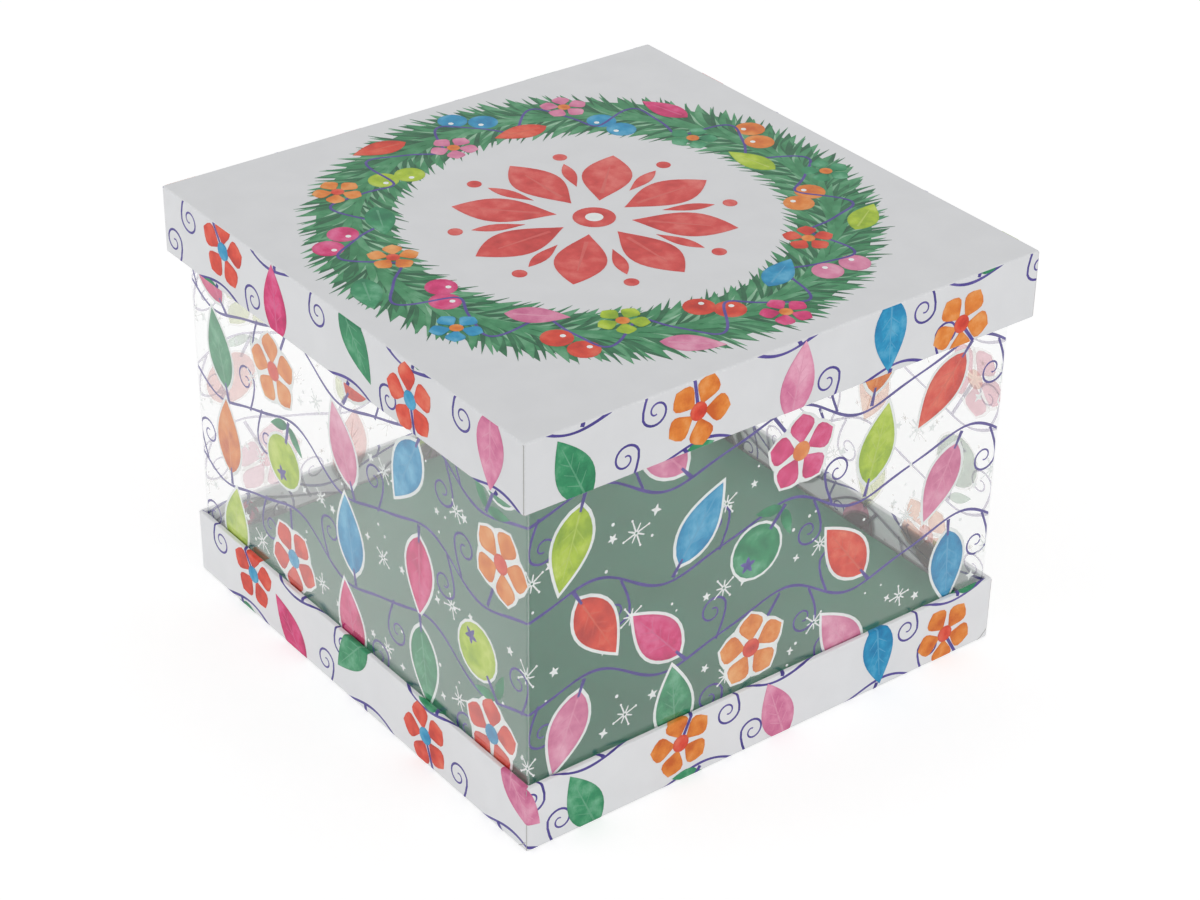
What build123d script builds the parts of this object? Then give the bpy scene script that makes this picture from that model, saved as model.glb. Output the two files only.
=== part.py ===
from build123d import *
import os

# A square gift box in millimetres, +Z up, with the middle of its underside at the origin.
# A board lid wrapped in paper sits on a clear film sleeve. The sleeve stands in a wrapped board
# base, round a raised floor. Plan sizes follow from the lid's width, and each piece takes its
# place from the piece that carries it.

# Whole box
lid_width = 230.0
overall_height = 170.7
lid_height = 27.5
base_height = 27.8

# Sheet materials
board = 1.75
paper = 0.15
film = 0.4

# Wrapped trays: the outer radius of a fold, how much of the board's thickness its cut edge is
# rounded by, the strip of board left bare below each turned-in wrap, and the wrap's reach under
# the base
fold_radius = 1.0
board_edge_share = 0.2
lid_bare_strip = 7.6
base_bare_strip = 3.75
base_turn_under = 15.0
bottom_sheet_margin = 3.0
liner_margin = 1.0

# Play on each side when the lid is slipped over the base without the sleeve
lid_slip = 1.7

# Paper tape that holds the corners of each board tray, let into the board
stay_leg = 14.0
stay_tape = 0.1
stay_inset = 3.0

# Film sleeve: its folds, the flap that closes it and the tapes that hold it
sleeve_fold_radius = 1.2
sleeve_flap = 12.0
seam_tape = 0.1
seam_tape_inset = 2.0
foot_tape = 0.2
foot_tape_width = 8.0
foot_tape_margin = 0.75
foot_tape_inset = 8.0
lid_seat_gap = 0.1

# Raised floor: its height over the tray's bottom, and the strips that it stands on
floor_height = 12.4
floor_clearance = 0.4
floor_turn_under = 12.0
riser_width = 14.0
riser_inset = 3.0

# One overrun for all cuts
overrun = 5.0

# Worked out from the sizes above
wall = paper + board + paper
base_width = lid_width - 2 * (wall + lid_slip)
base_inner_width = base_width - 2 * wall
sleeve_width = base_inner_width - 2 * foot_tape
sleeve_inner_width = sleeve_width - 2 * film
board_edge = board * board_edge_share
base_wrap_level = paper
tray_floor_level = base_wrap_level + paper + board
lid_inner_level = overall_height - wall
sleeve_top_level = lid_inner_level - lid_seat_gap
floor_top_level = tray_floor_level + floor_height
floor_width = sleeve_inner_width - 2 * (film + seam_tape + floor_clearance)
floor_board_width = floor_width - 2 * paper
floor_board_level = floor_top_level - paper - board


def block(width, low, high):
    """A square block on the middle axis, between two levels."""
    size = Box(width, width, high - low, align=(Align.CENTER, Align.CENTER, Align.MIN))
    return Pos(0, 0, low) * size


def rounded_block(width, height, radius):
    """A square block from level zero, with its corners and lower edges rounded."""
    plain = block(width, 0, height)
    levels = plain.edges().group_by(Axis.Z)
    return fillet(levels[0] + levels[1], radius)


def hollowed(outer, inner, edge):
    """An open tray: a rounded block less its inside, with both edges of the rim rounded."""
    rim = outer.edges().group_by(Axis.Z)[-1]
    tray = fillet(rim, edge) - inner
    rim_face = tray.faces().sort_by(Axis.Z)[-1]
    return fillet(rim_face.inner_wires()[0].edges(), edge)


def tray_board(width, height):
    """The folded board of a tray, opening up, before its corners are taped."""
    outer = rounded_block(width, height, fold_radius - paper)
    inner = block(width - 2 * board, board, height + overrun)
    return hollowed(outer, inner, board_edge)


def corner_stays(width, height):
    """Four paper tapes round the upright corners of a tray's board, flush with its faces."""
    skin = rounded_block(width, height, fold_radius - paper)
    core_width = width - 2 * stay_tape
    core = extrude(
        RectangleRounded(core_width, core_width, fold_radius - paper - stay_tape),
        height + overrun,
    )
    ring = skin - core
    reach = width / 2 + overrun
    span = stay_leg + overrun
    rise = height - 2 * stay_inset
    corner = Pos(reach - span / 2, reach - span / 2, height / 2) * Box(span, span, rise)
    return [ring & (Rot(0, 0, 90 * turn) * corner) for turn in range(4)]


def tray_wrap(width, height, bare_strip):
    """The paper over a tray, opening up, turned in down the walls to a bare strip."""
    outer = rounded_block(width, height, fold_radius)
    board_inner_width = width - 2 * (paper + board)
    inner = block(board_inner_width - 2 * paper, paper + board, height + overrun)
    shell = hollowed(outer, inner, board_edge + paper)
    bare_inside = block(board_inner_width, paper + board, paper + board + bare_strip)
    inside_board = Pos(0, 0, paper) * tray_board(width - 2 * paper, height - 2 * paper)
    return shell - inside_board - bare_inside


def turned_over(shape, level):
    """A tray shape turned to open down, with its outside face at a level."""
    return Pos(0, 0, level) * Rot(180, 0, 0) * shape


def lid_pieces():
    """The lid's board, corner tapes, wrap and the sheet that lines it."""
    width = lid_width - 2 * paper
    height = lid_height - 2 * paper
    stays = corner_stays(width, height)
    taped_board = tray_board(width, height) - stays
    level = overall_height - paper
    liner_width = width - 2 * board - 2 * liner_margin
    return {
        "lid_board": turned_over(taped_board, level),
        "lid_corner_stays": [turned_over(stay, level) for stay in stays],
        "lid_wrap": turned_over(tray_wrap(lid_width, lid_height, lid_bare_strip), overall_height),
        "lid_liner": block(liner_width, lid_inner_level, lid_inner_level + paper),
    }


def base_pieces():
    """The base's board, corner tapes, wrap and the sheet under it."""
    width = base_width - 2 * paper
    height = base_height - base_wrap_level - 2 * paper
    stays = corner_stays(width, height)
    taped_board = tray_board(width, height) - stays
    board_place = Pos(0, 0, base_wrap_level + paper)
    wrap = tray_wrap(base_width, base_height - base_wrap_level, base_bare_strip)
    open_underside = block(base_width - 2 * base_turn_under, -overrun, paper)
    sheet_width = base_width - 2 * bottom_sheet_margin
    return {
        "base_board": board_place * taped_board,
        "base_corner_stays": [board_place * stay for stay in stays],
        "base_wrap": Pos(0, 0, base_wrap_level) * (wrap - open_underside),
        "base_bottom_sheet": block(sheet_width, 0, base_wrap_level),
    }


def sleeve_corners(half, flap_level):
    """The corners of one face of the sleeve's film in plan, from its free end to its flap's."""
    flap_end = sleeve_flap - sleeve_width / 2
    return [
        (-sleeve_width / 2, half),
        (half, half),
        (half, -half),
        (-half, -half),
        (-half, flap_level),
        (flap_end, flap_level),
    ]


def sleeve_film():
    """One film folded into a square tube, its flap lying inside the wall that starts it."""
    half = sleeve_width / 2
    flap_level = half - film - seam_tape
    outside = FilletPolyline(*sleeve_corners(half, flap_level), radius=sleeve_fold_radius)
    inside = FilletPolyline(
        *sleeve_corners(half - film, flap_level - film), radius=sleeve_fold_radius - film
    )
    ends = [Line(outside @ 0, inside @ 0), Line(outside @ 1, inside @ 1)]
    plan = make_face(outside.edges() + inside.edges() + ends)
    height = sleeve_top_level - tray_floor_level
    return Pos(0, 0, tray_floor_level) * extrude(plan, height, dir=(0, 0, 1))


def sleeve_seam_tape():
    """The clear tape between the flap and the wall that it closes."""
    width = sleeve_flap - 2 * seam_tape_inset
    height = sleeve_top_level - tray_floor_level
    middle_x = sleeve_flap / 2 - sleeve_width / 2
    middle_y = sleeve_width / 2 - film - seam_tape / 2
    middle_z = tray_floor_level + height / 2
    return Pos(middle_x, middle_y, middle_z) * Box(width, seam_tape, height)


def sleeve_foot_tapes():
    """Four tapes that hold the foot of the sleeve to the base's walls."""
    length = sleeve_width - 2 * foot_tape_inset
    middle_y = (sleeve_width + foot_tape) / 2
    foot = tray_floor_level + base_bare_strip + foot_tape_margin
    middle_z = foot + foot_tape_width / 2
    tape = Pos(0, middle_y, middle_z) * Box(length, foot_tape, foot_tape_width)
    return [Rot(0, 0, 90 * turn) * tape for turn in range(4)]


def floor_pieces():
    """The raised floor: a board covered in paper, on four strips of board."""
    panel = block(floor_board_width, floor_board_level, floor_board_level + board)
    panel = fillet(panel.edges(), board_edge)
    cover = block(floor_width, floor_board_level - paper, floor_top_level)
    cover = fillet(cover.edges(), board_edge + paper)
    open_width = floor_width - 2 * floor_turn_under
    open_underside = block(open_width, floor_board_level - overrun, floor_board_level)
    frame_half = open_width / 2 - riser_inset
    length = 2 * frame_half - riser_width
    rise = floor_board_level - tray_floor_level
    riser = Box(length, riser_width, rise)
    place = Pos(-riser_width / 2, frame_half - riser_width / 2, tray_floor_level + rise / 2)
    return {
        "floor_board": panel,
        "floor_cover": cover - panel - open_underside,
        "floor_risers": [Rot(0, 0, 90 * turn) * place * riser for turn in range(4)],
    }


def write(pieces):
    """Writes each node's solids to one file."""
    for name, shape in pieces.items():
        shapes = shape if isinstance(shape, list) else [shape]
        solids = [solid for each in shapes for solid in each.solids()]
        export_step(Compound(solids), f"parts/{name}.step")


os.makedirs("parts", exist_ok=True)
write(lid_pieces())
write(base_pieces())
write(floor_pieces())
write(
    {
        "clear_sleeve": sleeve_film(),
        "sleeve_seam_tape": sleeve_seam_tape(),
        "sleeve_foot_tapes": sleeve_foot_tapes(),
    }
)
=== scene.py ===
"""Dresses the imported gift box: paper wraps, printed motifs, clear film and a plain studio.

Flat layouts are worked out in millimetres and turned to metres as they are carried onto the box.
"""

from __future__ import annotations

import logging
import math
import random
from collections.abc import Callable, Iterable
from dataclasses import dataclass, field, replace
from enum import Enum

import bmesh
import bpy
from mathutils import Matrix, Vector

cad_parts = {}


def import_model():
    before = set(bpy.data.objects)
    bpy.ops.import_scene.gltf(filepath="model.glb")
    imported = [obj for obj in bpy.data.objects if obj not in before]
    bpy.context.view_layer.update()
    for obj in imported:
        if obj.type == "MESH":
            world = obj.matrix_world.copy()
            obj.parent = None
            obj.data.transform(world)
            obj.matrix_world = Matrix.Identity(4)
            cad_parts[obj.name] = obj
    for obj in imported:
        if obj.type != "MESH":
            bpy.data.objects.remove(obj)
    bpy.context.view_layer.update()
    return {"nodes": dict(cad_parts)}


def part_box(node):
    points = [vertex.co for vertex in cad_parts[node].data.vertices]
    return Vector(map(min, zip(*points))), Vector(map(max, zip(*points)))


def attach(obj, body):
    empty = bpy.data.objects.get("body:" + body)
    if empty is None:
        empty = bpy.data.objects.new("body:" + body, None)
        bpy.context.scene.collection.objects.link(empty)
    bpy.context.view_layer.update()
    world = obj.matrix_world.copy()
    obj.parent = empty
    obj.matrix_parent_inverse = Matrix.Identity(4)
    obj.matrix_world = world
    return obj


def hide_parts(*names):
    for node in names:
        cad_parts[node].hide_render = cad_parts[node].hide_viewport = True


LOG = logging.getLogger("gift_box")
MM = 0.001

Tree = bpy.types.NodeTree
Socket = bpy.types.NodeSocket
Shape = Callable[[float, float], Vector]
Path = Callable[[float], Vector]
Width = Callable[[float], float]
Carrier = Callable[[float, float, float], Vector]


# Finishes


def linear(code: str) -> tuple[float, float, float, float]:
    """Turns an sRGB hex colour to a linear one.

    Args:
        code: six hex digits after a hash.

    Returns:
        Red, green, blue and a full alpha.
    """
    parts = [int(code[i : i + 2], 16) / 255 for i in (1, 3, 5)]
    made = [c / 12.92 if c <= 0.04045 else ((c + 0.055) / 1.055) ** 2.4 for c in parts]
    return (made[0], made[1], made[2], 1.0)


FULL_WHITE = linear("#ffffff")


def repeats(size_mm: float) -> float:
    """The scale of a pattern whose features are about this many millimetres across."""
    return 1 / (size_mm * MM)


def add_node(
    tree: Tree,
    kind: str,
    settings: dict | None = None,
    inputs: dict | tuple = (),
    output: int | str = 0,
) -> Socket | None:
    """Adds a node with its settings, values and links.

    Args:
        tree: the material's or world's nodes.
        kind: the node's type.
        settings: the node's own properties by name.
        inputs: values, or outputs to link from, by socket name or number, or in the sockets'
            order.
        output: the name or number of the output that is wanted.

    Returns:
        That output, or None from a node that has none.
    """
    node = tree.nodes.new(kind)
    for name, value in (settings or {}).items():
        setattr(node, name, value)
    for key, value in inputs.items() if isinstance(inputs, dict) else enumerate(inputs):
        if isinstance(value, Socket):
            tree.links.new(value, node.inputs[key])
        else:
            node.inputs[key].default_value = value
    return node.outputs[output] if node.outputs else None


def tinged(
    tree: Tree,
    factor: Socket,
    span: tuple[float, float],
    first: object,
    second: object,
    most: float = 1.0,
) -> Socket:
    """Runs from one colour to another as a factor crosses a span.

    Args:
        tree: the nodes to add to.
        factor: what the colour follows.
        span: where the second colour starts to show, and where it shows most.
        first: the colour before the span, a value or an output.
        second: the colour after it.
        most: the second colour's share after the span.

    Returns:
        The colour's output.
    """
    share = add_node(tree, "ShaderNodeMapRange", inputs=(factor, *span, 0, most))
    blend = {0: share, 6: first, 7: second}
    return add_node(tree, "ShaderNodeMix", {"data_type": "RGBA"}, blend, output=2)


@dataclass(frozen=True)
class Mottle:
    """Noise on the piece's own coordinates, with features a real size apart in millimetres.

    detail is how many finer steps it has, span the part of its range that a finish uses, and
    stretch its scale along each axis where the grain has a direction.
    """

    size: float
    detail: float
    span: tuple[float, float] = (0.3, 0.7)
    stretch: tuple[float, float, float] | None = None

    def noise(self, tree: Tree) -> Socket:
        """Adds the noise.

        Args:
            tree: the nodes to add to.

        Returns:
            Its factor output.
        """
        place = add_node(tree, "ShaderNodeTexCoord", output="Object")
        if self.stretch:
            mapping = {"Vector": place, "Scale": self.stretch}
            place = add_node(tree, "ShaderNodeMapping", inputs=mapping)
        grain = {"Vector": place, "Scale": repeats(self.size), "Detail": self.detail}
        return add_node(tree, "ShaderNodeTexNoise", inputs=grain)


@dataclass(frozen=True)
class Finish:
    """A surface of the box: its name and the nodes that draw it."""

    name: str

    def shader(self, tree: Tree) -> Socket:
        """Adds the surface's nodes and returns its shader output."""
        raise NotImplementedError

    def material(self) -> bpy.types.Material:
        """Makes the finish a material, once for each name.

        Returns:
            The material.
        """
        found = bpy.data.materials.get(self.name)
        if found is not None:
            return found
        made = bpy.data.materials.new(self.name)
        made.use_nodes = True
        tree = made.node_tree
        tree.nodes.clear()
        add_node(tree, "ShaderNodeOutputMaterial", inputs={"Surface": self.shader(tree)})
        return made


@dataclass(frozen=True)
class PaperStock(Finish):
    """A paper or board: clouds between two tones, and a grain that gives its gloss and relief.

    Where no grain is given, the clouds are the grain too. rough is one value, or the two ends of
    a range that follows the grain. relief is a bump's strength and its depth in millimetres.
    Flecks show a third tone.
    """

    tones: tuple[str, str]
    clouds: Mottle
    rough: float | tuple[float, float]
    relief: tuple[float, float]
    grain: Mottle | None = None
    ior: float = 1.5
    flecks: Mottle | None = None
    fleck: str = ""
    fleck_share: float = 0.0

    def where_folded(self) -> PaperStock:
        """The same paper along a fold, where its coating cracks and shows drier and whiter."""
        chips = {"flecks": Mottle(0.9, 4, (0.5, 0.62)), "fleck": "#eeeeee", "fleck_share": 0.3}
        return replace(self, name=f"{self.name}_folded", rough=(0.5, 0.66), **chips)

    def raised(self, tree: Tree, grain: Socket) -> Socket:
        """What stands up from the surface: its grain."""
        return grain

    def shader(self, tree: Tree) -> Socket:
        """Adds the paper's nodes.

        Args:
            tree: the nodes to add to.

        Returns:
            Its shader output.
        """
        clouds = self.clouds.noise(tree)
        grain = self.grain.noise(tree) if self.grain else clouds
        colour = tinged(tree, clouds, self.clouds.span, *(linear(tone) for tone in self.tones))
        if self.flecks:
            flecks, third = self.flecks.noise(tree), linear(self.fleck)
            colour = tinged(tree, flecks, self.flecks.span, colour, third, self.fleck_share)
        rough = self.rough
        if self.grain:
            rough = add_node(tree, "ShaderNodeMapRange", inputs=(grain, *self.grain.span, *rough))
        strength, depth = self.relief
        height = self.raised(tree, grain)
        relief = {"Strength": strength, "Distance": depth * MM, "Height": height}
        bump = add_node(tree, "ShaderNodeBump", inputs=relief)
        surface = {"Base Color": colour, "Roughness": rough, "Normal": bump, "IOR": self.ior}
        return add_node(tree, "ShaderNodeBsdfPrincipled", inputs=surface)


@dataclass(frozen=True)
class GummedTape(PaperStock):
    """Gummed kraft tape: brown paper with machine ribs across it.

    rib is the length of one radian of their wave in millimetres.
    """

    rib: float = 1.5

    def raised(self, tree: Tree, grain: Socket) -> Socket:
        """Adds the ribs, which stand higher than the grain.

        Args:
            tree: the nodes to add to.
            grain: the paper's grain, which is not used here.

        Returns:
            The ribs' height.
        """
        place = add_node(tree, "ShaderNodeTexCoord", output="Object")
        # A wave texture counts 20 radians to one unit of its scale.
        ribs = {"Vector": place, "Scale": repeats(self.rib) / 20, "Distortion": 1.5}
        return add_node(tree, "ShaderNodeTexWave", {"bands_direction": "Z"}, ribs, "Fac")


class Backing(Enum):
    """What an ink is printed on: how it is printed, and each layer's step in millimetres."""

    PAPER = ("offset", 0.0108)
    FILM = ("screen", 0.0085)

    def __init__(self, process: str, step: float) -> None:
        """Names the two values."""
        self.process, self.step = process, step


@dataclass(frozen=True)
class PrintInk(Finish):
    """Process ink laid like a wash of watercolour: pigment pools at a motif's edge and thins
    towards its tip, over clouds some millimetres across.

    On film it lies on white, which hides what is behind; its inner side is pale and lets
    more through.
    """

    deep: str
    body: str
    pale: str
    backing: Backing

    def shader(self, tree: Tree) -> Socket:
        """Adds the ink's nodes.

        Args:
            tree: the nodes to add to.

        Returns:
            Its shader output.
        """
        along, edge, tone, inside = (
            add_node(tree, "ShaderNodeAttribute", {"attribute_name": name}, output="Fac")
            for name in ("along", "edge", "tone", "inside")
        )
        clouds, grain = Mottle(7, 4), Mottle(0.8, 2)
        cloudy, grainy, thinned = (
            add_node(tree, "ShaderNodeMapRange", inputs=(part, *span, *to))
            for part, span, to in (
                (clouds.noise(tree), clouds.span, (-0.3, 0.3)),
                (grain.noise(tree), grain.span, (-0.05, 0.05)),
                (along, (0, 1), (-0.12, 0.16)),
            )
        )
        wash = tone
        for part in (cloudy, grainy, thinned):
            wash = add_node(tree, "ShaderNodeMath", inputs=(wash, part))
        deep, body, pale = linear(self.deep), linear(self.body), linear(self.pale)
        colour = tinged(tree, wash, (0.12, 0.5), deep, body)
        colour = tinged(tree, wash, (0.5, 0.95), colour, pale)
        colour = tinged(tree, edge, (0.72, 1.0), colour, deep, 0.4)
        rough = add_node(tree, "ShaderNodeMapRange", inputs=(grainy, -0.05, 0.05, 0.34, 0.42))
        if self.backing is Backing.FILM:
            return self.on_film(tree, colour, rough, inside)
        surface = {"Base Color": colour, "Roughness": rough, "IOR": 1.34}
        return add_node(tree, "ShaderNodeBsdfPrincipled", inputs=surface)

    def on_film(self, tree: Tree, colour: Socket, rough: Socket, inside: Socket) -> Socket:
        """Adds what the film changes: a pale inner side, and the light that comes through.

        Args:
            tree: the nodes to add to.
            colour: the ink's colour.
            rough: its roughness.
            inside: 1 on the side that faces into the box.

        Returns:
            Its shader output.
        """
        faded = tinged(tree, inside, (0, 1), colour, linear("#fbf7f6"), 0.62)
        surface = {"Base Color": faded, "Roughness": rough, "IOR": 1.28}
        laid = add_node(tree, "ShaderNodeBsdfPrincipled", inputs=surface)
        for kind, share_outside, share_inside in (
            ("ShaderNodeBsdfTranslucent", 0.1, 0.8),
            ("ShaderNodeBsdfTransparent", 0, 0.88),
        ):
            passed = add_node(tree, kind, inputs={"Color": faded})
            ends = (share_outside, share_inside)
            share = add_node(tree, "ShaderNodeMapRange", inputs=(inside, 0, 1, *ends))
            laid = add_node(tree, "ShaderNodeMixShader", inputs=(share, laid, passed))
        # The layer is one wash, so light that has passed its first face leaves by the other.
        clear = add_node(tree, "ShaderNodeBsdfTransparent", inputs={"Color": FULL_WHITE})
        behind = add_node(tree, "ShaderNodeNewGeometry", output="Backfacing")
        return add_node(tree, "ShaderNodeMixShader", inputs=(behind, laid, clear))


@dataclass(frozen=True)
class ClearSheet(Finish):
    """Clear PET, cast and rolled: it shows what is behind it and mirrors what is round it.

    Its mirror share rises towards a low angle as Fresnel's does, and is half as high on the side
    that faces into the box. haze is the share that scatters, which a glued tape has and a clean
    film doesn't. Where it has folds, from fold_from outwards, it is stressed and whiter.
    """

    tint: str = "#ffffff"
    haze: float = 0.0
    fold_from: float | None = None

    def mirrored(self, tree: Tree, place: Socket) -> Socket:
        """Works out how much the film mirrors.

        Args:
            tree: the nodes to add to.
            place: the piece's own coordinates.

        Returns:
            The share.
        """
        facing = add_node(tree, "ShaderNodeLayerWeight", inputs={"Blend": 0.5}, output="Facing")
        # Power 3.7 comes nearer to the film's gloss at 45 to 60 degrees than the usual 5.
        steep = add_node(tree, "ShaderNodeMath", {"operation": "POWER"}, (facing, 3.7))
        glossy = add_node(tree, "ShaderNodeMapRange", inputs=(steep, 0, 1, 0.05, 1.0))
        level = (place, (1, 1, 0))
        from_middle = add_node(tree, "ShaderNodeVectorMath", {"operation": "MULTIPLY"}, level)
        pair = (add_node(tree, "ShaderNodeNewGeometry", output="Normal"), from_middle)
        outward = add_node(
            tree, "ShaderNodeVectorMath", {"operation": "DOT_PRODUCT"}, pair, "Value"
        )
        halved = (outward, -10 * MM, 10 * MM, 0.5, 1.0)
        side = add_node(tree, "ShaderNodeMapRange", inputs=halved)
        return add_node(tree, "ShaderNodeMath", {"operation": "MULTIPLY"}, (glossy, side))

    def stressed(self, tree: Tree, place: Socket) -> Socket:
        """Works out how much a folded film scatters: its haze, and more at the folds.

        Args:
            tree: the nodes to add to.
            place: the piece's own coordinates.

        Returns:
            The share.
        """
        apart = add_node(tree, "ShaderNodeSeparateXYZ", inputs=(place,)).node
        sizes = (
            add_node(tree, "ShaderNodeMath", {"operation": "ABSOLUTE"}, (apart.outputs[axis],))
            for axis in ("X", "Y")
        )
        corner = add_node(tree, "ShaderNodeMath", {"operation": "MINIMUM"}, tuple(sizes))
        span = (self.fold_from, self.fold_from + 0.4 * MM)
        ends = (self.haze, self.haze + 0.28)
        return add_node(tree, "ShaderNodeMapRange", inputs=(corner, *span, *ends))

    def shader(self, tree: Tree) -> Socket:
        """Adds the film's nodes.

        Args:
            tree: the nodes to add to.

        Returns:
            Its shader output.
        """
        place = add_node(tree, "ShaderNodeTexCoord", output="Object")
        ripple = {"Strength": 0.15, "Distance": 0.3 * MM, "Height": Mottle(45, 1).noise(tree)}
        bump = add_node(tree, "ShaderNodeBump", inputs=ripple)
        gloss = {"Color": FULL_WHITE, "Roughness": 0.04, "Normal": bump}
        mirror = add_node(tree, "ShaderNodeBsdfAnisotropic", inputs=gloss)
        tint = {"Color": linear(self.tint)}
        through = add_node(tree, "ShaderNodeBsdfTransparent", inputs=tint)
        scatter = add_node(tree, "ShaderNodeBsdfDiffuse", inputs={"Color": linear("#f2f4f4")})
        haze = self.stressed(tree, place) if self.fold_from else self.haze
        body = add_node(tree, "ShaderNodeMixShader", inputs=(haze, through, scatter))
        share = self.mirrored(tree, place)
        return add_node(tree, "ShaderNodeMixShader", inputs=(share, body, mirror))


def looked_at(tree: Tree) -> Socket:
    """Tells rays from the camera, and those that a gloss or a glass passes on, from the rest.

    Args:
        tree: the nodes to add to.

    Returns:
        1 for these rays and 0 for the rest.
    """
    seen = add_node(tree, "ShaderNodeLightPath", output="Is Camera Ray")
    path = seen.node.outputs
    for passed_on in ("Is Glossy Ray", "Is Transmission Ray"):
        either = (seen, path[passed_on])
        seen = add_node(tree, "ShaderNodeMath", {"operation": "MAXIMUM"}, either)
    return seen


@dataclass(frozen=True)
class StudioFloor(Finish):
    """A matt white floor that the camera sees as a white background with the box's shadow on it.

    What mirrors the floor sees it as plain white. It lights the box only by what it reflects.
    """

    plain: str = "#eeeeee"
    shaded: float = 0.5
    glow: float = 0.64

    def shader(self, tree: Tree) -> Socket:
        """Adds the floor's nodes.

        Args:
            tree: the nodes to add to.

        Returns:
            Its shader output.
        """
        plain, shaded = (
            add_node(tree, "ShaderNodeBsdfDiffuse", inputs={"Color": colour})
            for colour in (linear(self.plain), (self.shaded, self.shaded, self.shaded, 1))
        )
        glowing, white = (
            add_node(tree, "ShaderNodeEmission", inputs=(FULL_WHITE, strength))
            for strength in (self.glow, 1.0)
        )
        seen = add_node(tree, "ShaderNodeAddShader", inputs=(shaded, glowing))
        looked = add_node(tree, "ShaderNodeMixShader", inputs=(looked_at(tree), plain, seen))
        mirrored = add_node(tree, "ShaderNodeLightPath", output="Is Glossy Ray")
        return add_node(tree, "ShaderNodeMixShader", inputs=(mirrored, looked, white))


# Satin coated art paper, glued over board: a smooth sheet with a faint cloud of fibre. Fibre is
# about 0.03 mm thick; 0.5 mm is as fine as shows here.
LID_PAPER = PaperStock(
    "satin_art_paper_on_lid",
    tones=("#dfe0e2", "#dcdddf"),
    clouds=Mottle(14, 3, (0.35, 0.65)),
    grain=Mottle(0.5, 3),
    rough=(0.36, 0.46),
    relief=(0.12, 0.02),
    ior=1.47,
)
# The base's paper is the lid's, painted slightly whiter: painted light for the stronger light from
# below that falls on the base's walls.
BASE_PAPER_PAINTED_LIGHTER = replace(LID_PAPER, name="satin_art_paper_on_base", tones=("#e7e8ea", "#e4e5e7"))
# A grey line where the paper is cut up each corner: partly the cut edge itself, partly a painted
# shadow cast by the overlapping edge. The same grey paints the shade in the base's corner creases.
CUT_EDGE_AND_SHADE = replace(LID_PAPER, name="art_paper_cut_edge", tones=("#a3a19f", "#b3b1ae"))
# Uncoated white sheet: dry, with short fibres lying mostly one way.
PLAIN_SHEET = PaperStock(
    "uncoated_sheet_white",
    tones=("#dededc", "#ebebe9"),
    clouds=Mottle(1.2, 4, (0.35, 0.7), stretch=(1, 0.35, 1)),
    rough=0.82,
    relief=(0.2, 0.03),
)
# Greyboard pressed from waste paper: dull grey with pale and dark flecks.
GREY_BOARD = PaperStock(
    "greyboard_pressed",
    tones=("#948d82", "#b0a99d"),
    clouds=Mottle(1.6, 5, (0.35, 0.65)),
    rough=0.9,
    relief=(0.35, 0.06),
    flecks=Mottle(0.7, 2, (0.66, 0.72)),
    fleck="#5d5850",
    fleck_share=0.6,
)
GUMMED_TAPE = GummedTape(
    "kraft_tape_gummed",
    tones=("#a88357", "#c09a6b"),
    clouds=Mottle(0.8, 4),
    rough=0.68,
    relief=(0.2, 0.03),
)
# Green cover paper, dyed and calendered: an even satin sheet that mirrors pale surroundings
# softly at a low angle.
GREEN_COVER = PaperStock(
    "cover_paper_green_calendered",
    tones=("#22805c", "#298866"),
    clouds=Mottle(20, 3, (0.35, 0.65)),
    grain=Mottle(0.6, 3),
    rough=(0.3, 0.38),
    relief=(0.08, 0.02),
    ior=1.4,
)
CLEAR_FILM = ClearSheet("pet_film_clear", fold_from=108.2 * MM)
CLEAR_TAPE = ClearSheet("clear_tape_glued", tint="#f6f7f5", haze=0.12)
STUDIO_FLOOR = StudioFloor("studio_floor_matt")


class Ink(Enum):
    """The print's colours: deep, body and pale."""

    MAGENTA = ("#b5185a", "#d93376", "#e87aa6")
    PINK = ("#c8628d", "#dd86a8", "#efb4c9")
    RED = ("#ba2c20", "#de4630", "#e9785c")
    ORANGE = ("#cd5f1d", "#e58632", "#f1b06e")
    LIME = ("#86a81f", "#b1cb30", "#d2e074")
    GREEN = ("#1f7450", "#359263", "#7dbd99")
    BLUE = ("#0f74a8", "#1f94c2", "#6fbcdb")
    PURPLE = ("#443a86", "#594b9c", "#786cb4")
    WHITE = ("#e4e9e7", "#eef2f0", "#f6f8f7")
    CORAL = ("#c03432", "#d84945", "#e67a72")
    PINE = ("#185438", "#266a45", "#3d8459")
    MOSS = ("#2d7a4d", "#418f60", "#70ab84")
    SAGE = ("#5f9a74", "#82b391", "#aacdb2")

    def on(self, backing: Backing) -> PrintInk:
        """This colour as a finish on paper or on film."""
        name = f"{backing.process}_ink_{self.name.lower()}_on_{backing.name.lower()}"
        return PrintInk(name, *self.value, backing)


BRIGHTS = (Ink.MAGENTA, Ink.LIME, Ink.BLUE, Ink.ORANGE, Ink.PINK, Ink.GREEN, Ink.RED)


# Flat printing


class Layer(Enum):
    """The order that inks lie in, lowest first."""

    STEM = 1
    HALO = 2
    UNDER = 3
    LOWER = 4
    MIDDLE = 5
    UPPER = 6
    OVER = 7
    TOP = 8
    BODY = 9
    MARK = 10


@dataclass(frozen=True)
class Wash:
    """How a colour or another finish is laid: how high, and how thin from 0 for full to 1."""

    ink: Ink | Finish
    layer: Layer
    tone: float = 0.45


HALO = Wash(Ink.WHITE, Layer.HALO, 0.5)
FROST = Wash(Ink.WHITE, Layer.STEM, 0.5)
SHINE = Wash(Ink.WHITE, Layer.MARK, 0.5)
STEM = Wash(Ink.PURPLE, Layer.STEM)
STALK = Wash(Ink.PURPLE, Layer.MARK)
# The grey line of a cut edge, partly painted shadow, and the painted shade of creases.
CUT_LINE_AND_SHADE = Wash(CUT_EDGE_AND_SHADE, Layer.BODY)


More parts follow.
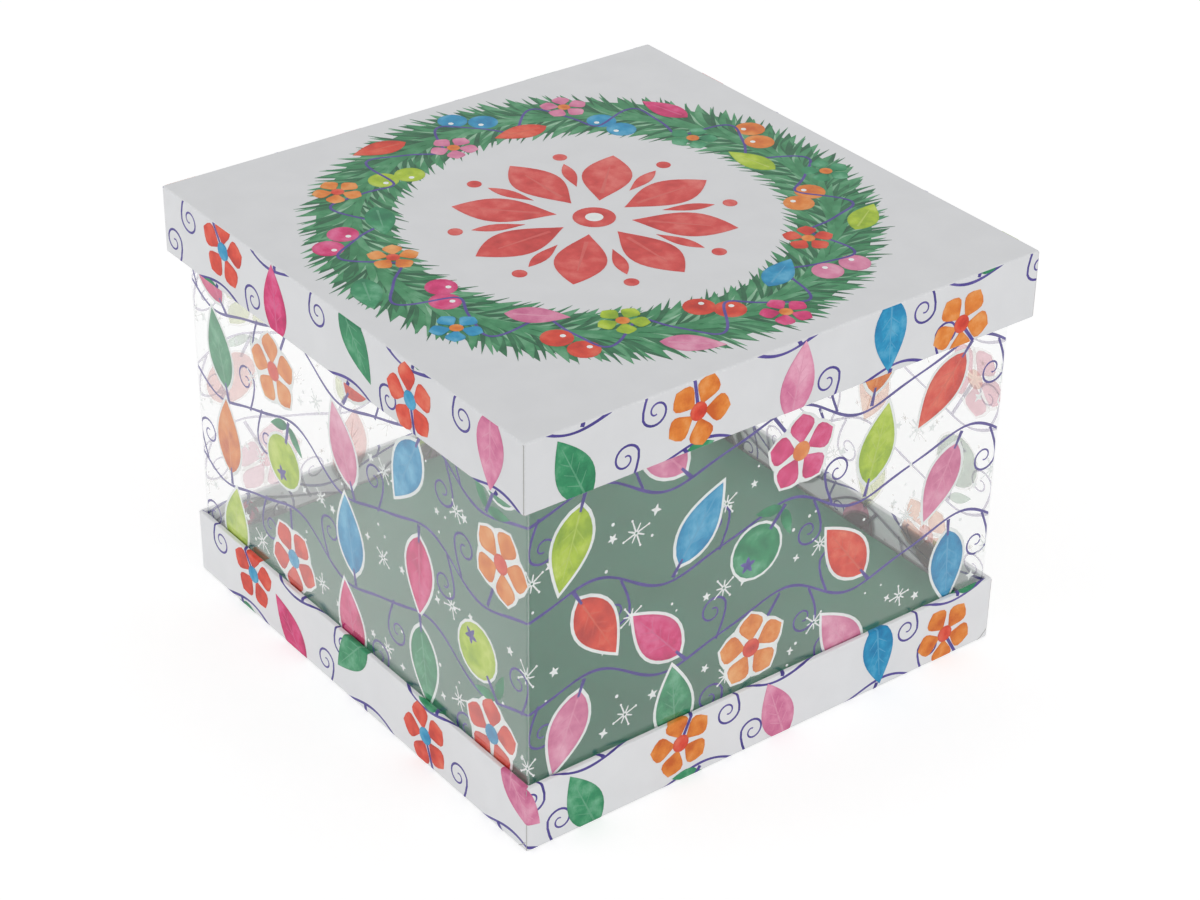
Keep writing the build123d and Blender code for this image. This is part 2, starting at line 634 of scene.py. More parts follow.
def blank_sheet() -> bmesh.types.BMesh:
    """Makes a bmesh with the values that the inks read at each point.

    Returns:
        The new bmesh.
    """
    made = bmesh.new()
    for name in ("along", "edge", "tone", "inside", "rise"):
        made.verts.layers.float.new(name)
    return made


def put(name: str, data: bpy.types.ID) -> bpy.types.Object:
    """Makes an object and links it to the scene.

    Args:
        name: its name.
        data: its mesh, lamp or camera.

    Returns:
        The new object.
    """
    made = bpy.data.objects.new(name, data)
    bpy.context.scene.collection.objects.link(made)
    return made


def modelled(
    name: str, mesh: bmesh.types.BMesh, finishes: Iterable[Finish]
) -> bpy.types.Object:
    """Turns a finished bmesh, in metres, to an object.

    Args:
        name: the object's name.
        mesh: its shape, which is freed.
        finishes: its finishes, in the order of its faces' material numbers.

    Returns:
        The new object.
    """
    data = bpy.data.meshes.new(name)
    mesh.to_mesh(data)
    mesh.free()
    for finish in finishes:
        data.materials.append(finish.material())
    return put(name, data)


def piece(
    name: str, body: str, mesh: bmesh.types.BMesh, finishes: Iterable[Finish]
) -> bpy.types.Object:
    """Turns a finished bmesh, in metres, to a piece that rides on a body.

    Args:
        name: the piece's name.
        body: the body that it rides on.
        mesh: its shape, which is freed.
        finishes: its finishes, in the order of its faces' material numbers.

    Returns:
        The new object.
    """
    made = modelled(name, mesh, finishes)
    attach(made, body)
    LOG.info("%s: %d faces", name, len(made.data.polygons))
    return made


@dataclass
class FlatSheet:
    """Motifs laid out flat in millimetres, then cut, thickened and carried onto the box.

    A few motifs at a time are drawn on a scrap, because a full sheet is slow to draw on. levels
    is how many heights the motifs of one layer take by turns, a fraction of a step apart.
    """

    backing: Backing
    finishes: list[Finish] = field(default_factory=list)
    laid: int = 0
    levels: int = 12
    scrap_full: int = 400

    def __post_init__(self) -> None:
        """Starts the sheet and the scrap."""
        self.mesh, self.scrap = blank_sheet(), blank_sheet()

    def join(self) -> None:
        """Moves what is on the scrap to the sheet."""
        if not self.scrap.verts:
            return
        held = bpy.data.meshes.new("scrap")
        self.scrap.to_mesh(held)
        self.mesh.from_mesh(held)
        bpy.data.meshes.remove(held)
        self.scrap.free()
        self.scrap = blank_sheet()

    def number(self, ink: Ink | Finish) -> int:
        """Finds a finish among the sheet's, and adds it if it is new.

        Args:
            ink: the colour, or another finish.

        Returns:
            Its number.
        """
        finish = ink.on(self.backing) if isinstance(ink, Ink) else ink
        if finish not in self.finishes:
            self.finishes.append(finish)
        return self.finishes.index(finish)

    def patch(
        self, shape: Shape, cells: tuple[int, int], wash: Wash
    ) -> list[bmesh.types.BMVert]:
        """Lays a grid bent to a shape.

        Args:
            shape: takes (0 to 1 along, -1 to 1 across) to a place in millimetres.
            cells: how many faces it has along and across.
            wash: how it is laid.

        Returns:
            Its points, good until the next patch.
        """
        if len(self.scrap.verts) > self.scrap_full:
            self.join()
        scrap, floats = self.scrap, self.scrap.verts.layers.float
        along, edge, tones, rise = (floats[n] for n in ("along", "edge", "tone", "rise"))
        self.laid += 1
        # The heights of one layer fill 0.85 of its step.
        height = wash.layer.value + 0.85 * (self.laid % self.levels) / self.levels
        made = bmesh.ops.create_grid(scrap, x_segments=cells[0], y_segments=cells[1], size=0.5)
        for v in made["verts"]:
            s, t = v.co.x + 0.5, v.co.y * 2
            v[along], v[edge], v[tones], v[rise] = s, abs(t), wash.tone, height
            v.co = shape(s, t)
        number = self.number(wash.ink)
        for face in {f for v in made["verts"] for f in v.link_faces}:
            face.material_index = number
        bmesh.ops.remove_doubles(scrap, verts=made["verts"], dist=0.002)
        return [v for v in made["verts"] if v.is_valid]

    def stroke(self, path: Path, width: Width, steps: int, wash: Wash) -> None:
        """Lays a ribbon of ink along a path.

        Args:
            path: takes 0 to 1 to a place in millimetres.
            width: the ribbon's width from 0 to 1.
            steps: how many faces it has along the path.
            wash: how it is laid.
        """

        def shape(s: float, t: float) -> Vector:
            """Finds a place on the ribbon, square to the path's heading there.

            Args:
                s: 0 to 1 along the ribbon.
                t: -1 to 1 across it.

            Returns:
                The place.
            """
            near, far = max(s - 0.002, 0.0), min(s + 0.002, 1.0)
            heading = (path(far) - path(near)).normalized()
            return path(s) + Vector((-heading.y, heading.x, 0)) * t * width(s) / 2

        self.patch(shape, (steps, 1), wash)

    def split(
        self, place: tuple[float, float], across: tuple[float, float], trim: bool = False
    ) -> None:
        """Splits the faces along a line, so that they can fold there.

        Args:
            place: a point of the line.
            across: the direction square to it.
            trim: whether what lies beyond it in that direction is cut away.
        """
        self.join()
        bmesh.ops.bisect_plane(
            self.mesh,
            geom=self.mesh.verts[:] + self.mesh.edges[:] + self.mesh.faces[:],
            dist=1e-4,
            plane_co=(*place, 0),
            plane_no=(*across, 0),
            clear_outer=trim,
        )

    def carried(self, name: str, body: str, carrier: Carrier) -> bpy.types.Object:
        """Gives every ink its thickness and carries the sheet onto the box.

        On paper the inks reach just under its face, and on film as far to the inside.

        Args:
            name: the piece's name.
            body: the body that it rides on.
            carrier: takes (across, up, out) in millimetres to a place in metres.

        Returns:
            The finished piece.
        """
        self.join()
        floats = self.mesh.verts.layers.float
        rise, inside = floats["rise"], floats["inside"]
        bmesh.ops.solidify(self.mesh, geom=self.mesh.faces[:], thickness=1)
        for v in self.mesh.verts:
            top = v[rise] * self.backing.step
            if v.co.z < -0.5:
                v[inside] = 1.0
                v.co.z = -top if self.backing is Backing.FILM else -0.004
            else:
                v.co.z = top
        for v in self.mesh.verts:
            v.co = carrier(*v.co)
        return piece(name, body, self.mesh, self.finishes)


@dataclass(frozen=True)
class Spot:
    """Where a motif is rooted on the sheet and which way it points, in millimetres and radians."""

    x: float
    y: float
    heading: float = 0.0

    def at(self, ahead: float, aside: float) -> Vector:
        """The place that lies so far ahead of the root and to its left."""
        c, s = math.cos(self.heading), math.sin(self.heading)
        return Vector((self.x + ahead * c - aside * s, self.y + ahead * s + aside * c, 0))

    def turned(self, angle: float) -> Spot:
        """The same root with another heading."""
        return Spot(self.x, self.y, self.heading + angle)

    def moved(self, ahead: float, aside: float = 0.0, angle: float = 0.0) -> Spot:
        """A spot further on, turned by an angle."""
        place = self.at(ahead, aside)
        return Spot(place.x, place.y, self.heading + angle)

    def fan(self, count: int) -> list[Spot]:
        """The same root with so many headings, evenly all round."""
        return [self.turned(turn * math.tau / count) for turn in range(count)]


@dataclass(frozen=True)
class Wave:
    """How a vine winds: its length, its height and where along the row it starts."""

    length: float
    height: float
    start: float = 0.0

    def rise(self, x: float) -> float:
        """The vine's height over its row."""
        turn = math.tau * (x - self.start) / self.length
        return -self.height * math.cos(turn) + 0.22 * self.height * math.sin(2 * turn)


@dataclass
class Motifs:
    """Draws the print's generic folk motifs on a sheet.

    halo is how much of the white under a motif shows round it.
    """

    sheet: FlatSheet
    halo: float = 0.0

    def line(
        self,
        spot: Spot,
        reach: tuple[float, float],
        width: tuple[float, float],
        steps: int,
        wash: Wash,
    ) -> None:
        """A straight stroke ahead of a spot.

        Args:
            spot: what it is measured from.
            reach: how far ahead it starts and ends.
            width: how wide it is at its start and at its end.
            steps: how many faces it has along it.
            wash: how it is laid.
        """
        (start, end), (first, last) = reach, width
        self.sheet.stroke(
            lambda s: spot.at(start + (end - start) * s, 0),
            lambda s: first + (last - first) * s,
            steps,
            wash,
        )

    def blade(
        self,
        spot: Spot,
        length: float,
        width: float,
        wash: Wash,
        cells: tuple[int, int] = (12, 4),
        sway: float = 0.0,
        fullness: float = 0.8,
    ) -> None:
        """A pointed leaf or petal from its root.

        Args:
            spot: its root and heading.
            length: how long it is.
            width: how wide it is at its widest.
            wash: how it is laid.
            cells: its faces along and across.
            sway: how far its middle bows to the left.
            fullness: below 1 its widest place is nearer its root, and above 1 nearer its tip.
        """

        def shape(s: float, t: float) -> Vector:
            """A place on the blade."""
            half = width / 2 * math.sin(math.pi * s**fullness) ** 0.95 if 0 < s < 1 else 0.0
            return spot.at(length * s, t * half + sway * math.sin(math.pi * s))

        self.sheet.patch(shape, cells, wash)

    def disc(self, spot: Spot, radius: float, wash: Wash, rim: int = 20) -> None:
        """A round of ink.

        Args:
            spot: its middle.
            radius: its radius.
            wash: how it is laid.
            rim: how many sides it has.
        """

        def shape(s: float, t: float) -> Vector:
            """A place on the disc."""
            return spot.at(radius * s * math.cos(math.pi * t), radius * s * math.sin(math.pi * t))

        made = self.sheet.patch(shape, (3 if rim > 8 else 1, rim), wash)
        floats = self.sheet.scrap.verts.layers.float
        for v in made:
            v[floats["edge"]] = v[floats["along"]]

    def leaf(self, spot: Spot, length: float, ink: Ink, tone: float) -> None:
        """A broad leaf on a short stalk, with a pale midrib and side veins.

        Args:
            spot: its stalk's root and heading.
            length: how long its blade is.
            ink: its colour.
            tone: how thin its wash is.
        """
        width, stalk = length * 0.5, length * 0.15
        blade = spot.moved(stalk)
        if self.halo:
            grown = blade.moved(-self.halo * 1.6)
            long, wide = length + 3.4 * self.halo, width + 2.2 * self.halo
            self.blade(grown, long, wide, HALO, (10, 2))
        self.line(spot, (0, stalk * 1.5), (1.7, 1.0), 2, STALK)
        self.blade(blade, length, width, Wash(ink, Layer.BODY, tone))
        midrib = (length * 0.1, length * 0.86)
        self.line(blade, midrib, (0.9, 0.225), 4, Wash(ink, Layer.MARK, 1.0))
        for side in (-1, 1):
            for share in (0.26, 0.42, 0.58):
                ahead, aside = length * 0.13, side * width * 0.3 * (1.2 - share)
                vein = blade.moved(length * share, angle=math.atan2(aside, ahead))
                reach = (0, math.hypot(ahead, aside))
                self.line(vein, reach, (0.55, 0.165), 1, Wash(ink, Layer.MARK, 0.92))

    def flower(self, spot: Spot, size: float, ink: Ink, heart: Ink, tone: float) -> None:
        """A simple flower of five petals round a heart.

        Args:
            spot: its middle.
            size: how wide it is.
            ink: its petals' colour.
            heart: its heart's colour.
            tone: how thin the petals' wash is.
        """
        for petal in spot.fan(5):
            if self.halo:
                long, wide = size * 0.5 + self.halo, size * 0.44 + 2 * self.halo
                self.blade(petal, long, wide, HALO, (6, 2), fullness=1.35)
            root, wash = petal.moved(size * 0.07), Wash(ink, Layer.BODY, tone)
            self.blade(root, size * 0.43, size * 0.37, wash, (7, 4), fullness=1.45)
        self.disc(spot, size * 0.13, Wash(heart, Layer.MARK), 14)

    def berry(self, spot: Spot, size: float, ink: Ink, tone: float) -> None:
        """A round fruit on a stalk, with a five-pointed crown.

        Args:
            spot: its stalk's root and heading.
            size: how wide it is.
            ink: its colour.
            tone: how thin its wash is.
        """
        stalk, radius = size * 0.4, size / 2
        middle = spot.moved(stalk + radius)
        if self.halo:
            self.disc(middle, radius + self.halo, HALO, 18)
        self.line(spot, (0, stalk * 1.2), (1.5, 1.5), 2, STALK)
        self.disc(middle, radius, Wash(ink, Layer.BODY, tone))
        for point in middle.moved(radius * 0.55).fan(5):
            self.blade(point, size * 0.17, size * 0.09, replace(STALK, tone=0.4), (3, 2))

    def curl(self, spot: Spot, size: float, side: int, width: float = 1.1) -> None:
        """A tendril that winds in on itself.

        Args:
            spot: its root and heading.
            size: how wide its coil is.
            side: 1 to wind to the left and -1 to the right.
            width: how wide its line is at the root.
        """
        straight = 0.16

        def path(s: float) -> Vector:
            """Finds a place on the tendril, which is led from a straight start into its coil.

            Args:
                s: 0 to 1 along the tendril.

            Returns:
                The place.
            """
            reach = size * (1 - 0.86 * s)
            middle = spot.at(size * 0.95, side * size * 0.55)
            swung = spot.heading - side * 2.2 + side * s * 2.9 * math.pi
            coil = middle + Vector((math.cos(swung), math.sin(swung), 0)) * reach * 0.62
            if s >= straight:
                return coil
            led = s / straight
            return spot.at(size * 0.4 * led, 0).lerp(coil, led * led * (3 - 2 * led))

        self.sheet.stroke(path, lambda s: width * (1 - 0.45 * s), 34, STEM)

    def snowflake(self, spot: Spot, size: float) -> None:
        """A white frost star of eight strokes, every other one longer.

        Args:
            spot: its middle and heading.
            size: how wide it is.
        """
        for turn, ray in enumerate(spot.fan(8)):
            reach = size / 2 * (1.0 if turn % 2 == 0 else 0.68)
            self.line(ray, (0.5, reach), (0.75, 0.5), 1, FROST)
            if turn % 2 == 0:
                self.disc(ray.moved(reach), 0.55, FROST, 6)

    def star(self, spot: Spot, size: float, points: int) -> None:
        """A small white star.

        Args:
            spot: its middle and heading.
            size: how wide it is.
            points: how many points it has.
        """
        for ray in spot.fan(points):
            root = ray.moved(-size * 0.12)
            self.blade(root, size * 0.62, size * 0.3, FROST, (4, 2), fullness=0.6)

    def vine(self, start: float, end: float, level: float, wave: Wave) -> None:
        """A vine that winds along a row.

        Args:
            start: where it starts along the row.
            end: where it ends.
            level: the row's height.
            wave: how it winds.
        """

        def path(s: float) -> Vector:
            """A place on the vine."""
            x = start + (end - start) * s
            return Vector((x, level + wave.rise(x), 0))

        steps = max(int((end - start) / 1.9), 4)
        self.sheet.stroke(path, lambda s: 1.1 + 0.15 * math.sin(61 * s), steps, STEM)


@dataclass(frozen=True)
class VinePrint:
    """An all-over print: rows of winding vine with a motif at every half wave between them.

    rows are the rows' heights, wave and swing the vine's length and height of one wave, and
    motif a motif's size. Each row's places are numbered along the whole run, so that two sheets
    that share a fold draw the same motifs there.
    """

    rows: tuple[float, ...]
    wave: float
    swing: float
    motif: float
    seed: int
    halo: float = 0.0
    snow: bool = False

    def draw(self, sheet: FlatSheet, start: float, end: float) -> None:
        """Draws the part of the print between two places along its run.

        Args:
            sheet: where it is drawn, with places measured from the middle of the part.
            start: where the part starts along the run.
            end: where it ends.
        """
        motifs = Motifs(sheet, self.halo)
        middle = (start + end) / 2
        half_wave = self.wave / 2
        for row, level in enumerate(self.rows):
            wave = Wave(self.wave, self.swing, -middle)
            motifs.vine(start - middle - 1, end - middle + 1, level, wave)
            first = math.floor((start - self.motif) / half_wave)
            last = math.ceil((end + self.motif) / half_wave)
            for place in range(first, last + 1):
                self.sprig(motifs, place * half_wave - middle, level, row, place)

    def sprig(self, motifs: Motifs, x: float, level: float, row: int, place: int) -> None:
        """Draws what grows at one place of a vine: above it or below it by turns.

        Args:
            motifs: what draws it.
            x: the place along the sheet.
            level: the row's height.
            row: the row's number.
            place: the place's number.
        """
        draws = random.Random(self.seed + 101 * row + 7 * place)
        up = 1 if place % 2 == 0 else -1
        lean = draws.uniform(-0.75, 0.75)
        colour = 3 * place + 2 * row
        ink, heart = (BRIGHTS[(colour + more) % len(BRIGHTS)] for more in (0, 3))
        tone = draws.uniform(0.36, 0.58)
        heading = up * (math.pi / 2 - lean)
        root = Spot(x - 6 * math.sin(lean), level - up * self.swing * 0.86, heading)
        kind = (place + 3 * row) % 6
        if kind == 2:
            motifs.line(root, (0, self.motif * 0.5), (1.4, 1.4), 4, STEM)
            bloom = root.moved(self.motif * 0.58)
            motifs.flower(bloom, self.motif * 0.78, ink, heart, tone)
        elif kind == 5:
            motifs.berry(root, self.motif * 0.56, ink, tone)
            wash = Wash(Ink.GREEN, Layer.OVER, 0.4)
            for side in (-1, 1):
                sepal = root.moved(1.5, 0, side)
                motifs.blade(sepal, self.motif * 0.34, self.motif * 0.12, wash, (6, 2))
        else:
            motifs.leaf(root, self.motif * 0.84, ink, tone)
        side = 1 if draws.random() < 0.5 else -1
        heading = up * (1.2 if side > 0 else math.pi - 1.2)
        curl = Spot(x + side * self.wave * 0.2, level - up * self.swing * 0.35, heading)
        motifs.curl(curl, self.motif * 0.3, side * up)
        if self.snow:
            self.frost(motifs, x, level, up, draws)

    def frost(
        self, motifs: Motifs, x: float, level: float, up: int, draws: random.Random
    ) -> None:
        """Scatters a snowflake, small stars and dots beside a sprig.

        Args:
            motifs: what draws them.
            x: the sprig's place along the sheet.
            level: its row's height.
            up: 1 where the sprig grows up and -1 where it hangs.
            draws: the sprig's own random draws.
        """
        gap, rise = self.wave / 4, (self.rows[1] - self.rows[0]) * 0.45
        middle = Spot(x + gap + draws.uniform(-2, 2), level + up * (rise + draws.uniform(-4, 2)))
        motifs.snowflake(middle.turned(draws.uniform(0, 1)), draws.uniform(7.5, 11.5))
        for share in (0.55, -0.6):
            spot = Spot(
                x + gap * share + draws.uniform(-2.5, 2.5),
                level + up * rise * draws.uniform(1.0, 1.5),
                draws.uniform(0, 1.5),
            )
            motifs.star(spot, draws.uniform(3.4, 5.2), draws.choice((4, 5)))
        for _ in range(3):
            dot = Spot(x + draws.uniform(-gap, gap), level + up * rise * draws.uniform(-0.6, 1.6))
            motifs.disc(dot, draws.uniform(0.5, 0.85), FROST, 6)


# The box's surfaces


class Side(Enum):
    """The four walls, by how many quarter turns they lie from the one that faces -Y."""

    SOUTH = 0
    EAST = 1
    NORTH = 2
    WEST = 3

    def place(self, across: float, up: float, out: float) -> Vector:
        """Takes a place on the wall that faces -Y, in millimetres, to this wall, in metres."""
        return Matrix.Rotation(self.value * math.pi / 2, 3, "Z") @ Vector((across, -out, up)) * MM

    def round_fold(
        self, across: float, up: float, reach: float, straight: float, fold: float
    ) -> Vector:
        """Takes a place on a sheet that runs on round this wall's upright folds.

        Args:
            across: how far along the sheet it is from the wall's middle.
            up: how high it is.
            reach: how far out it is on the flat of the wall.
            straight: half the length of that flat.
            fold: the folds' radius.

        Returns:
            The place, in metres.
        """
        if abs(across) <= straight:
            return self.place(across, up, reach)
        turn = (abs(across) - straight) / fold
        radius = reach - straight
        x = math.copysign(straight + radius * math.sin(turn), across)
        return self.place(x, up, straight + radius * math.cos(turn))


@dataclass(frozen=True)
class TrayForm:
    """A wrapped tray's paper in millimetres: outer wall, rim and turned-in wall.

    closed and rim are the levels of its closed end and of its rim. opens is 1 for a tray that
    opens up and -1 for one that opens down.
    """

    half: float
    closed: float
    rim: float
    wall: float
    turn_in: float
    opens: int
    fold: float = 1.0
    rim_fold: float = 0.5
    rim_steps: int = 3
    corner_steps: int = 4

    @property
    def height(self) -> float:
        """How deep the tray is outside."""
        return abs(self.rim - self.closed)

    def lengths(self) -> list[float]:
        """Measures the paper's run.

        Returns:
            The lengths of its outer wall, the rim's outer fold, the rim, its inner fold and the
            turned-in wall.
        """
        arc = math.pi / 2 * self.rim_fold
        flat = self.wall - 2 * self.rim_fold
        return [self.height - self.rim_fold, arc, flat, arc, self.turn_in - self.rim_fold]

    def bends(self) -> list[float]:
        """Finds where the paper bends over the rim.

        Returns:
            How far along its run each bend is.
        """
        wall, arc, flat = self.lengths()[:3]
        steps = [arc * k / self.rim_steps for k in range(self.rim_steps + 1)]
        return [wall + s for s in steps] + [wall + arc + flat + s for s in steps]

    def level(self, run: float) -> float:
        """How high on the flat print the paper is at this place of its run."""
        return run if self.opens > 0 else self.height - run

    def section(self, run: float) -> tuple[float, float, float, float]:
        """Finds where the paper is along its run.

        Args:
            run: the length of paper from the closed end's fold, in millimetres.

        Returns:
            How far in from the outer face, how far from the closed end, and the outward normal's
            parts away from the middle and away from the closed end.
        """
        wall, arc, flat, _, _ = self.lengths()
        bend, height = self.rim_fold, self.height
        if run < self.fold:
            turn = 1 - run / self.fold
            away, beyond = math.cos(turn), -math.sin(turn)
            return self.fold * (1 - away), self.fold * (1 + beyond), away, beyond
        if run <= wall:
            return 0.0, run, 1.0, 0.0
        if run <= wall + arc:
            turn = (run - wall) / bend
            away, beyond = math.cos(turn), math.sin(turn)
            return bend - bend * away, height - bend + bend * beyond, away, beyond
        if run <= wall + arc + flat:
            return bend + run - wall - arc, height, 0.0, 1.0
        if run <= wall + 2 * arc + flat:
            turn = (run - wall - arc - flat) / bend
            away, beyond = -math.sin(turn), math.cos(turn)
            return self.wall - bend - bend * away, height - bend + bend * beyond, away, beyond
        return self.wall, height - bend - (run - wall - 2 * arc - flat), -1.0, 0.0

    def carry(self, side: Side, across: float, up: float, out: float) -> Vector:
        """Carries a place on the flat print onto a wall of the tray.

        Args:
            side: the wall.
            across: from the wall's middle.
            up: along the paper's run, from the closed end in a tray that opens up, and from the
                rim's edge in one that opens down.
            out: over the paper.

        Returns:
            The place on the box, in metres.
        """
        inward, along, away, beyond = self.section(self.level(up))
        z = self.closed + self.opens * (along + out * beyond)
        reach = self.half - inward + out * away
        return side.round_fold(across, z, reach, self.half - self.fold, self.fold)

    def shell(self) -> bmesh.types.BMesh:
        """Folds the paper as one sheet, before it gets its thickness.

        Returns:
            The sheet in millimetres, opening up from level zero.
        """
        mesh = bmesh.new()
        bmesh.ops.create_cube(mesh, size=1)
        depth = self.height - self.rim_fold
        bmesh.ops.scale(mesh, vec=(2 * self.half, 2 * self.half, depth), verts=mesh.verts)
        bmesh.ops.translate(mesh, vec=(0, 0, depth / 2), verts=mesh.verts)
        mesh.normal_update()
        opening = [f for f in mesh.faces if f.normal.z > 0.5]
        bmesh.ops.delete(mesh, geom=opening, context="FACES_ONLY")
        folds = [e for e in mesh.edges if len(e.link_faces) == 2]
        made = bmesh.ops.bevel(
            mesh,
            geom=folds,
            offset=self.fold,
            affect="EDGES",
            segments=self.corner_steps,
            profile=0.5,
            material=-1,
        )
        rim = [e for e in mesh.edges if len(e.link_faces) == 1]
        for run in [*self.bends()[1:], sum(self.lengths())]:
            inward, along, _, _ = self.section(run)
            grown = bmesh.ops.extrude_edge_only(mesh, edges=rim)["geom"]
            verts = [g for g in grown if isinstance(g, bmesh.types.BMVert)]
            rim = [g for g in grown if isinstance(g, bmesh.types.BMEdge)]
            share = (self.half - inward) / max(v.co.x for v in verts)
            bmesh.ops.scale(mesh, vec=(share, share, 1), verts=verts)
            for v in verts:
                v.co.z = along
        over_walls = (f for f in mesh.faces if f.calc_center_median().z > depth + 1e-3)
        for face in {*made["faces"], *over_walls}:
            face.material_index = 1
        bmesh.ops.recalc_face_normals(mesh, faces=mesh.faces)
        closed_end = [f for f in mesh.faces if f.calc_center_median().z < 0.01]
        if closed_end and closed_end[0].normal.z > 0:
            bmesh.ops.reverse_faces(mesh, faces=mesh.faces)
        return mesh


@dataclass
class Tray:
    """A board tray's dress: its paper wrap, the wrap's cut edges and tabs, and its print; the cut
    edges are grey lines that are partly painted shadow.

    name is its body's name too. paper is how thick the wrap is, and printed_to how far the print
    goes down the turned-in wall, both in millimetres.
    """

    name: str
    form: TrayForm
    paper: float
    coat: PaperStock
    pattern: VinePrint
    printed_to: float

    def wrap(self, node: str, open_under: float) -> bpy.types.Object:
        """The paper over the board, which stands for the plain wrap.

        Args:
            node: the wrap's node.
            open_under: half the width of the opening that the turned-under paper leaves below the
                closed end, or 0 where the end is whole.

        Returns:
            The wrap.
        """
        form, mesh = self.form, self.form.shell()
        if open_under:
            end = [f for f in mesh.faces if abs(f.normal.z) > 0.9 and f.calc_area() > 1000]
            flat_half = form.half - form.fold
            bmesh.ops.inset_region(mesh, faces=end, thickness=flat_half - open_under)
            bmesh.ops.delete(mesh, geom=end, context="FACES")
        bmesh.ops.solidify(mesh, geom=mesh.faces[:], thickness=self.paper)
        bmesh.ops.scale(mesh, vec=(MM, MM, MM), verts=mesh.verts)
        if form.opens < 0:
            turn = Matrix.Rotation(math.pi, 3, "X")
            bmesh.ops.rotate(mesh, cent=(0, 0, 0), matrix=turn, verts=mesh.verts)
        bmesh.ops.translate(mesh, vec=(0, 0, form.closed * MM), verts=mesh.verts)
        finishes = (self.coat, self.coat.where_folded())
        made = piece(f"{self.name}_wrap_folded", self.name, mesh, finishes)
        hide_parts(node)
        return made

    def lay(self, sheet: FlatSheet, part: str, side: Side) -> None:
        """Carries a sheet onto one wall, as the piece of that part and side."""
        name = f"{self.name}_{part}_{side.name.lower()}"
        sheet.carried(name, self.name, lambda x, y, z: self.form.carry(side, x, y, z))

    def print_walls(self) -> None:
        """Prints each wall, with the ink cut at the corner folds and at the closed end's fold."""
        form = self.form
        straight = form.half - form.fold
        end = straight + form.fold * math.pi / 4
        over_rim = form.wall - 2 * form.rim_fold + 2 * form.lengths()[1]
        # The print ends 0.7 radians round the closed end's fold.
        limits = (form.fold * 0.3, form.height + over_rim + self.printed_to)
        quarter = math.pi / 2 / form.corner_steps
        for side in Side:
            sheet = FlatSheet(Backing.PAPER)
            start = (side.value * 2 + 0.31) * form.half
            self.pattern.draw(sheet, start - form.half, start + form.half)
            for sign in (-1, 1):
                sheet.split((sign * end, 0), (sign, 0), trim=True)
                for step in (0, 1):
                    turned = straight + form.fold * math.pi / 8 * step
                    sheet.split((sign * turned, 0), (1, 0))
            for run, sign in zip(limits, (-form.opens, form.opens)):
                sheet.split((0, form.level(run)), (0, sign), trim=True)
            for run in [form.fold * (1 - quarter), form.fold, *form.bends()]:
                sheet.split((0, form.level(run)), (0, 1))
            self.mitre(sheet)
            self.lay(sheet, "print", side)

    def mitre(self, sheet: FlatSheet) -> None:
        """Trims the part of a print that folds over the rim along the mitre between walls.

        Args:
            sheet: the wall's print.
        """
        form, bends = self.form, self.form.bends()
        first, last = form.level(bends[0]), form.level(bends[-1])
        for sign in (-1, 1):
            sheet.split((sign * (form.half - form.wall), 0), (1, 0))
            slope = (sign * (bends[-1] - bends[0]), form.wall * form.opens)
            sheet.split((sign * form.half, first), slope)
        beyond = []
        for face in sheet.mesh.faces:
            place = face.calc_center_median()
            past = min((place.y - first) / (last - first), 1.0)
            if past > 0 and abs(place.x) > form.half - form.wall * past:
                beyond.append(face)
        bmesh.ops.delete(sheet.mesh, geom=beyond, context="FACES")

    def cut_edges_and_shade(self) -> None:
        """The paper's cut edge up each corner, a grey line that is partly painted shadow of the
        overlapping edge, and the tabs of its turned-in wall inside.
        """
        form = self.form
        low, high = (0.6, form.height - 0.5) if form.opens > 0 else (0.5, form.height - 0.6)
        # The edge runs up the wall 0.62 radians round its upright fold.
        foot = Spot(form.half - form.fold + form.fold * 0.62, 0, math.pi / 2)
        for side in Side:
            sheet = FlatSheet(Backing.PAPER)
            Motifs(sheet).line(foot, (low, high), (0.22, 0.22), 1, CUT_LINE_AND_SHADE)
            if side in (Side.SOUTH, Side.NORTH):
                self.tabs(sheet)
            self.lay(sheet, "cut_edge", side)

    def tabs(self, sheet: FlatSheet) -> None:
        """Lays the tabs by which the next walls' turned-in paper is stuck to this wall's.

        Args:
            sheet: the wall's cut edge.
        """
        form = self.form
        inner = form.half - form.wall - 0.15
        top = sum(form.lengths()[:4]) + 0.3
        reach = form.turn_in - form.rim_fold - 0.4
        full, tip, tapers_from = 6.0, 1.0, 0.72
        for sign in (-1, 1):

            def tab(s: float, t: float, sign: int = sign) -> Vector:
                """Finds a place on the tab, which tapers towards its tip.

                Args:
                    s: 0 to 1 from the rim to its tip.
                    t: -1 to 1 across it.
                    sign: which end of the wall it is at.

                Returns:
                    The place.
                """
                wide = full - (full - tip) * max(s - tapers_from, 0) / (1 - tapers_from)
                x = inner - wide * (1 + sign * form.opens * t) / 2
                return Vector((sign * x, form.level(top + reach * s), 0))

            sheet.patch(tab, (4, 1), Wash(self.coat, Layer.STEM, 0.5))


